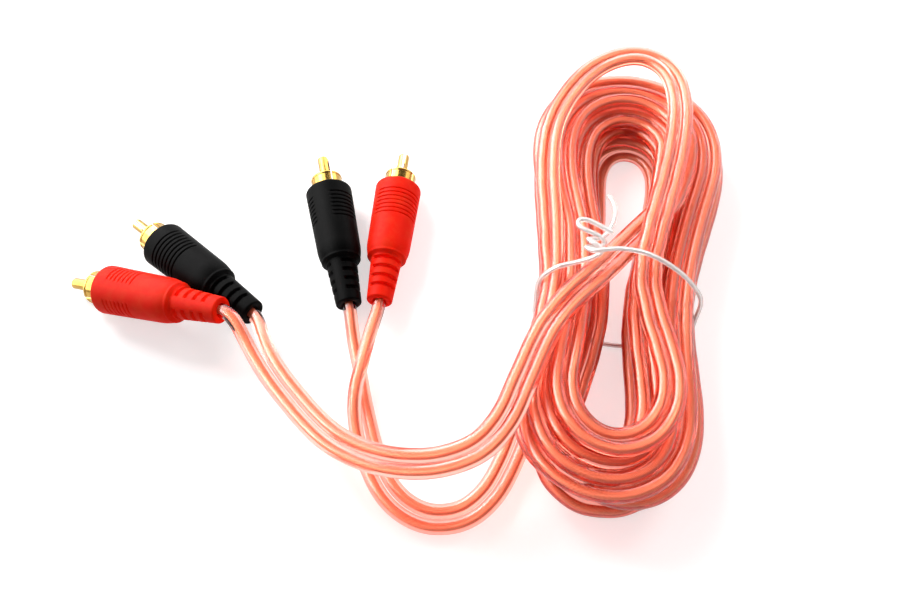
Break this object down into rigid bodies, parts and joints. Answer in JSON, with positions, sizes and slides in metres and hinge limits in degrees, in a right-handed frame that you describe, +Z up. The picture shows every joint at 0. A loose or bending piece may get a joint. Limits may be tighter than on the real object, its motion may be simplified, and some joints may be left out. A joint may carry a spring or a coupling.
{
  "type": "stereo rca audio cable",
  "caption": "Twin clear-jacketed copper audio lead wound in a tied hank, split at each end to a red and a black moulded plug with gold-plated pin and shell.",
  "frame": {"origin": "on the surface that the lead lies on, under the middle of the box round the four plugs and the tie", "axes": "+X from the left pair of plugs towards the hank, +Y away from the viewer of the picture, roughly the way the centre plugs' pins point, +Z up"},
  "size_m": [0.1871, 0.1358, 0.0282],
  "materials": {
    "red_pvc": "moulded flexible PVC, satin red",
    "black_pvc": "moulded flexible PVC, satin black",
    "gold_plate": "gold flash over nickel on brass, bright",
    "insulator": "natural polyethylene",
    "inner_mould": "natural polyethylene, rough from its mould",
    "clear_pvc_cord": "clear glossy PVC over twisted bare copper",
    "clear_tie": "clear plastic over a steel wire"
  },
  "bodies": {
    "root": {"left_red_grip": "red_pvc", "left_red_ground_shell": "gold_plate", "left_red_centre_pin": "gold_plate", "left_red_insulator": "insulator", "left_red_inner_mould": "inner_mould", "left_black_grip": "black_pvc", "left_black_ground_shell": "gold_plate", "left_black_centre_pin": "gold_plate", "left_black_insulator": "insulator", "left_black_inner_mould": "inner_mould", "centre_black_grip": "black_pvc", "centre_black_ground_shell": "gold_plate", "centre_black_centre_pin": "gold_plate", "centre_black_insulator": "insulator", "centre_black_inner_mould": "inner_mould", "centre_red_grip": "red_pvc", "centre_red_ground_shell": "gold_plate", "centre_red_centre_pin": "gold_plate", "centre_red_insulator": "insulator", "centre_red_inner_mould": "inner_mould", "twist_tie": "clear_tie", "left_twin_cord": "clear_pvc_cord", "right_twin_cord": "clear_pvc_cord", "left_red_leg": "clear_pvc_cord", "left_black_leg": "clear_pvc_cord", "centre_black_leg": "clear_pvc_cord", "centre_red_leg": "clear_pvc_cord", "hank": "clear_pvc_cord"}
  },
  "joints": []
}
